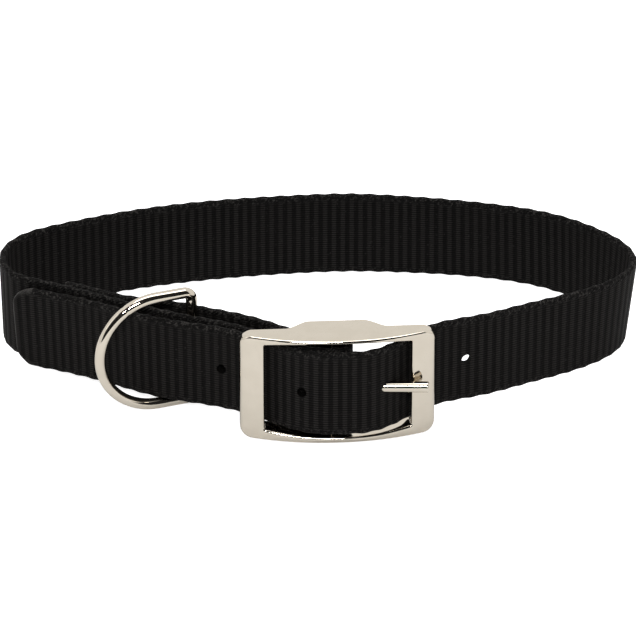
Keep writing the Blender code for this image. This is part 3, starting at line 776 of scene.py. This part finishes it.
# melted ends and tip corners: real gloss and flattened weave in the material, and a painted highlight in its colour
meltedWithHighlight = np.maximum.reduce((tipOnly, corner, startOnly))
addFloat(strapMesh, "selvage", nearEdge.ravel())
addFloat(strapMesh, "meltedWithHighlight", meltedWithHighlight.ravel())
strapMesh = cutWebbing(strapMesh, tools)
strap = piece("webbingStrap", strapMesh, webbing, "collar", ("strap",))
print("webbing: %d faces" % len(strapMesh.polygons))


# stitches that hold the fold-back ply

stitchLook = {
    "length": 0.0026,
    "gap": 0.0006,
    "thread": 0.00044,
    "edge": 0.0023,
    "boxes": ((0.0120, 0.0370), (0.0530, 0.0820)),
    "sides": 8,
    "rows": 9,
}


def stitchPlaces():
    # starts and ends of all stitches as (distance, height) pairs, round each sewn box
    pitch = stitchLook["length"] + stitchLook["gap"]
    top = strapLook["width"] / 2 - stitchLook["edge"]
    starts, ends = [], []
    for first, last in stitchLook["boxes"]:
        for a, b in (((first, -top), (last, -top)), ((first, top), (last, top)),
                     ((first, -top), (first, top)), ((last, -top), (last, top)),
                     ((first, -top), (last, top)), ((first, top), (last, -top))):
            a, b = np.array(a), np.array(b)
            count = max(1, round(np.linalg.norm(b - a) / pitch))
            share = np.arange(count)[:, None] / count
            own = stitchLook["length"] / pitch / count
            starts.append(a + (b - a) * (share + 0.5 * (1 / count - own)))
            ends.append(a + (b - a) * (share + 0.5 * (1 / count + own)))
    return np.vstack(starts), np.vstack(ends)


def stitchMesh(name, shiftOf, sign):
    # each stitch is a thread whose height over the cloth is an arch, sunk at both ends
    starts, ends = stitchPlaces()
    t = np.linspace(0.0, 1.0, stitchLook["rows"])[None, :, None]
    flat = starts[:, None, :] + (ends - starts)[:, None, :] * t
    arch = (np.sqrt(np.clip(1.0 - (2.0 * t[..., 0] - 1.0) ** 2, 0, 1)) - 0.62) * stitchLook["thread"] * 0.75
    arch = np.broadcast_to(arch, flat.shape[:2])
    distance = flat[..., 0].ravel()
    shift = shiftOf(distance) + sign * (strapLook["thickness"] / 2 - 0.00012 + arch.ravel())
    spot, _ = plyPoints(distance, shift)
    path = np.column_stack((spot[:, :2], flat[..., 1].ravel())).reshape(*flat.shape[:2], 3)
    meshes = []
    radius = stitchLook["thread"] / 2 * np.sqrt(np.clip(1.0 - (2.0 * t[0, :, 0] - 1.0) ** 4, 0.15, 1.0))
    for number, one in enumerate(path):
        meshes.append(skin("%s%d" % (name, number), tubeRing(one, radius, stitchLook["sides"])))
    return joined(name, meshes)


piece("innerStitches", stitchMesh("innerStitches", lambda d: -foldSpread(d), -1), thread, "collar")
piece("outerStitches", stitchMesh("outerStitches", lambda d: 0.0 * d, 1), thread, "collar")
print("stitches: %d on each side" % len(stitchPlaces()[0]))


# buckle frame

def roundOutline(halfWide, halfHigh, radius, bow, side=16, corner=18, rail=70):
    # rectangle with round corners, its long sides bowed out by bow * (1 - share^2), from the
    # middle of the right side anticlockwise, with the same count whatever its sizes
    up = np.linspace(0.0, 1.0, side + 1)[1:] * (halfHigh - radius)
    bend = np.radians(np.linspace(0.0, 90.0, corner + 1))[1:]
    along = np.linspace(1.0, 0.0, rail + 1)[1:] * (halfWide - radius)
    quarter = np.vstack((
        [[halfWide, 0.0]],
        np.column_stack((np.full(side, halfWide), up)),
        np.column_stack((halfWide - radius + radius * np.cos(bend), halfHigh - radius + radius * np.sin(bend))),
        np.column_stack((along, np.full(rail, halfHigh))),
    ))
    straight = halfHigh - radius
    quarter[:, 1] += bow * (1.0 - (quarter[:, 0] / halfWide) ** 2) * smoothStep((quarter[:, 1] / straight - 0.9) / 0.1)
    upper = np.vstack((quarter, quarter[-2::-1] * (-1, 1)))
    return np.vstack((upper, upper[-2:0:-1] * (1, -1)))


def buckleFrameMesh():
    halfWide, halfHigh = buckleLook["width"] / 2, buckleLook["height"] / 2
    outer = roundOutline(halfWide, halfHigh, buckleLook["cornerRadius"], 0.0)
    inner = roundOutline(windowHalf, buckleLook["windowHeight"] / 2 - buckleLook["windowBarrel"],
                         buckleLook["windowCorner"], buckleLook["windowBarrel"])
    inner[:, 1] += buckleLook["drop"] - buckleLook["windowDrop"]
    across = inner - outer
    width = np.linalg.norm(across, axis=1)
    depth = buckleLook["bow"] - buckleLook["barSetback"] + buckleLook["sideBarDepth"]

    def backFace(x):
        # side bars are of even depth; the rails reach further back, most of all at the lug
        rail = smoothStep((np.abs(outer[:, 1]) - halfHigh + 0.45 * buckleLook["cornerRadius"]) / (0.3 * buckleLook["cornerRadius"]))
        lug = smoothStep((buckleLook["lugHalfWidth"] + buckleLook["lugShoulder"] - np.abs(x)) / buckleLook["lugShoulder"])
        behindSide = frontFace(x) + buckleLook["sideBarDepth"]
        edge = smoothStep((halfWide - np.abs(x)) / (0.5 * buckleLook["sideBarWidth"]))
        return behindSide + (depth + buckleLook["lugDepth"] * lug - behindSide) * edge * rail

    # rounded box section: place along the wall from outer (0) to inner (1) and place in depth
    quarter = np.linspace(0.0, 0.5 * math.pi, 8)
    columns = []

    def corner(wallEnd, face, roundness, reverse):
        angles = quarter[::-1] if reverse else quarter
        for a in angles:
            inset = np.minimum(roundness, (0.55 if wallEnd == 0 else 0.30) * width)
            w = inset * (1.0 - math.cos(a)) / width
            w = w if wallEnd == 0 else 1.0 - w
            xz = outer + across * w[:, None]
            base = frontFace(xz[:, 0]) if face == "front" else backFace(xz[:, 0])
            sign = 1.0 if face == "front" else -1.0
            d = base + sign * inset * (1.0 - math.sin(a))
            xy = fromBuckle(xz[:, 0], d)
            columns.append(np.column_stack((xy, xz[:, 1] - buckleLook["drop"])))

    def wall(share, faceFrom, faceTo, start, stop, count):
        for t in np.linspace(start, stop, count):
            xz = outer + across * share
            d = faceFrom(xz[:, 0]) * (1 - t) + faceTo(xz[:, 0]) * t
            xy = fromBuckle(xz[:, 0], d)
            columns.append(np.column_stack((xy, xz[:, 1] - buckleLook["drop"])))

    def face(kind, shares, crown):
        for share in shares:
            first = np.minimum(buckleLook["frontRound"], 0.55 * width) / width
            last = np.minimum(buckleLook["frontRound"], 0.30 * width) / width
            w = first + (1.0 - first - last) * share
            xz = outer + across * w[:, None]
            base = frontFace(xz[:, 0]) if kind == "front" else backFace(xz[:, 0])
            lift = crown * 4.0 * share * (1.0 - share) * np.minimum(width / 0.007, 1.0)
            xy = fromBuckle(xz[:, 0], base - lift if kind == "front" else base)
            columns.append(np.column_stack((xy, xz[:, 1] - buckleLook["drop"])))

    inside = np.linspace(0.0, 1.0, 8)[1:-1]
    corner(0, "front", buckleLook["frontRound"], False)
    face("front", inside, 0.00012)
    corner(1, "front", buckleLook["frontRound"], True)
    wall(1.0, frontFace, backFace, 0.3, 0.7, 3)
    corner(1, "back", buckleLook["backRound"], False)
    face("back", inside[::-1], 0.0)
    corner(0, "back", buckleLook["backRound"], True)
    wall(0.0, backFace, frontFace, 0.3, 0.7, 3)
    points = np.stack(columns, axis=1)
    return skin("buckleRim", points, loopAlong=True)


def barMesh():
    end = (buckleLook["height"] + buckleLook["windowHeight"]) / 4
    path = np.column_stack((np.zeros(9), np.zeros(9), np.linspace(-end, end, 9) - buckleLook["drop"]))
    return skin("barCore", tubeRing(path, buckleLook["barDiameter"] / 2, 40))


piece("buckleFrame", joined("buckleFrame", [buckleFrameMesh(), barMesh()]), nickel, "collar",
      ("buckle_frame",), sharp=60.0)
print("buckle frame done")


# tongue: wire bent round the bar, flattened there, with a flat cut tip

def tongueMesh():
    wire = tongueLook["wire"]
    eyeWall = eyeRadius - buckleLook["barDiameter"] / 2 - buckleLook["metalGap"]
    bend = eyeRadius - eyeWall / 2
    # the curl starts behind the bar, goes round its left and leaves along the shank
    angle = np.radians(np.linspace(20.0, 270.0, 60))
    curl = np.column_stack((bend * np.cos(angle), bend * np.sin(angle)))
    start = np.array([0.6 * wire, atEye + tongueSlope * 0.6 * wire])
    shankEnd = np.array([tongueTip, atEye + tongueSlope * tongueTip])
    t = np.linspace(0.0, 1.0, 60)[:, None]
    shank = start + (shankEnd - start) * (1.0 - (1.0 - t) ** 1.6)
    plan = np.vstack((curl, shank[1:]))
    xy = fromBuckle(plan[:, 0], plan[:, 1])
    path = np.column_stack((xy, np.zeros(len(xy))))
    share = smoothStep((travelled(path) - travelled(path)[len(curl) - 12]) / (1.6 * wire))
    halfSide = eyeWall / 2 + (wire / 2 - eyeWall / 2) * share
    left = travelled(path)[-1] - travelled(path)
    closing = np.clip(1.0 - (1.0 - np.clip(left / 0.0003, 0, 1)) ** 2 * 0.2, 0.0, 1.0)
    return tube("buckleTongue", path, halfSide * closing, wire / 2 * closing, 36)


piece("buckleTongue", tongueMesh(), nickel, "collar", ("buckle_tongue",), sharp=60.0)
print("tongue done")


# D-ring

def ringOutline():
    # straight bar, two short arms and a half circle, as (reach, height) of the wire's middle
    half = (ringLook["height"] - ringLook["wire"]) / 2
    arm = ringLook["reach"] - ringLook["wire"] / 2 - half
    small = ringLook["corner"]
    arc = np.radians(np.linspace(-90, 90, 121))
    upper = np.radians(np.linspace(90, 180, 19))
    lower = np.radians(np.linspace(180, 270, 19))
    parts = [
        np.column_stack((arm + half * np.cos(arc), half * np.sin(arc))),
        np.column_stack((small + small * np.cos(upper), half - small + small * np.sin(upper))),
        np.column_stack((np.zeros(10), np.linspace(half - small, small - half, 12)[1:-1])),
        np.column_stack((small + small * np.cos(lower), small - half + small * np.sin(lower))),
    ]
    return np.vstack(parts)


def ringMesh():
    outline = ringOutline()
    tangent = unit(unit(np.roll(outline, -1, axis=0) - outline) + unit(outline - np.roll(outline, 1, axis=0)))
    normal = np.column_stack((tangent[:, 1], -tangent[:, 0]))
    angle = np.linspace(0.0, 2.0 * math.pi, 32, endpoint=False)
    radius = np.full(len(outline), ringLook["wire"] / 2)
    radius[98:100] -= 0.00007  # butt seam of the bent wire
    inPlane = outline[:, None, :] + (radius[:, None] * np.cos(angle))[..., None] * normal[:, None, :]
    offPlane = radius[:, None] * np.sin(angle)
    turned = np.array(Matrix.Rotation(ringDirection, 3, "Z"))
    points = np.stack((inPlane[..., 0], offPlane, inPlane[..., 1]), axis=-1) @ turned.T
    return skin("dRing", points + np.array(ringPlace), loopAlong=True)


piece("dRing", ringMesh(), nickel, "ring", ("d_ring",), sharp=60.0)
print("ring done")


# studio

studioLook = {
    "lookAt": (-0.00535, 0.05835, -0.0127),
    "distance": 1.4688,
    "elevation": math.radians(29.5),
    "lens": 294.3,
    "floorSize": 6.0,
}


def floorMaterial():
    material, nodes, shader = newMaterial("paleFloor")
    place = nodes.add("ShaderNodeTexCoord").outputs["Object"]
    grain = nodes.add("ShaderNodeTexNoise", None, Vector=place, Scale=3.0, Detail=2.0).outputs[0]
    nodes.set(shader.inputs["Base Color"], nodes.mix(grain, (0.90, 0.90, 0.90, 1.0), (0.93, 0.93, 0.93, 1.0)))
    shader.inputs["Roughness"].default_value = 0.9
    shader.inputs["Specular IOR Level"].default_value = 0.1
    # the photograph's ground is burnt out to white, so what the camera and the metal see is lifted
    shader.inputs["Emission Color"].default_value = (1.0, 1.0, 1.0, 1.0)
    path = nodes.add("ShaderNodeLightPath")
    lift = nodes.math("MULTIPLY", path.outputs["Is Glossy Ray"], 0.08)
    lift = nodes.math("MULTIPLY_ADD", path.outputs["Is Camera Ray"], 0.85, lift)
    nodes.set(shader.inputs["Emission Strength"], lift)
    return material


def makeFloor():
    half = studioLook["floorSize"] / 2
    mesh = bpy.data.meshes.new("studioFloor")
    mesh.from_pydata([(-half, -half, 0), (half, -half, 0), (half, half, 0), (-half, half, 0)], [], [(0, 1, 2, 3)])
    mesh.materials.append(floorMaterial())
    floor = bpy.data.objects.new("studioFloor", mesh)
    bpy.context.scene.collection.objects.link(floor)


def areaLight(name, place, target, size, power, colour=(1.0, 1.0, 1.0)):
    data = bpy.data.lights.new(name, "AREA")
    data.shape = "RECTANGLE"
    data.size, data.size_y = size
    data.energy = power
    data.color = colour
    light = bpy.data.objects.new(name, data)
    bpy.context.scene.collection.objects.link(light)
    light.location = place
    light.rotation_euler = (Vector(target) - Vector(place)).to_track_quat("-Z", "Y").to_euler()
    return light


def makeWorld():
    # bright all round, darker in front above the floor, where the room behind the camera is
    world = bpy.data.worlds.new("studio")
    bpy.context.scene.world = world
    world.use_nodes = True
    nodes = Nodes(world.node_tree)
    world.node_tree.nodes.clear()
    direction = nodes.add("ShaderNodeTexCoord").outputs["Generated"]
    front = nodes.add("ShaderNodeVectorMath", {"operation": "DOT_PRODUCT"}, i0=direction, i1=(0.0, -0.866, 0.5)).outputs["Value"]
    dark = nodes.spread(front, 0.48, 0.62, 0.0, 1.0)
    colour = nodes.mix(dark, (1.0, 0.99, 0.97, 1.0), (0.02, 0.02, 0.02, 1.0))
    seen = nodes.add("ShaderNodeLightPath").outputs["Is Camera Ray"]
    colour = nodes.mix(seen, colour, (1.0, 1.0, 1.0, 1.0))
    soft = nodes.math("MULTIPLY_ADD", nodes.add("ShaderNodeLightPath").outputs["Is Diffuse Ray"], -0.18, 1.0)
    back = nodes.add("ShaderNodeBackground", None, Color=colour, Strength=soft)
    out = nodes.add("ShaderNodeOutputWorld")
    nodes.set(out.inputs["Surface"], back.outputs[0])


def makeCamera():
    data = bpy.data.cameras.new("photoCamera")
    data.lens = studioLook["lens"]
    data.sensor_width = 36.0
    data.clip_start, data.clip_end = 0.05, 50.0
    camera = bpy.data.objects.new("photoCamera", data)
    bpy.context.scene.collection.objects.link(camera)
    rise = studioLook["elevation"]
    towards = standMatrix.to_3x3() @ Vector((0.0, -math.cos(rise), math.sin(rise)))
    camera.location = standMatrix @ Vector(studioLook["lookAt"]) + towards * studioLook["distance"]
    camera.rotation_euler = (-towards).to_track_quat("-Z", "Y").to_euler()
    bpy.context.scene.camera = camera


makeCamera()
makeFloor()
makeWorld()
areaLight("overhead", (0.0, 0.05, 0.9), (0.0, 0.0, 0.0), (0.7, 0.35), 2.4)
areaLight("fillLeft", (-0.9, -0.3, 0.6), (0.0, 0.0, 0.0), (0.5, 0.5), 0.3)
areaLight("front", (-0.05, -1.05, 0.95), (0.0, 0.0, 0.0), (0.5, 0.12), 9.0)
bpy.context.scene.view_settings.view_transform = "Standard"
print("studio done")
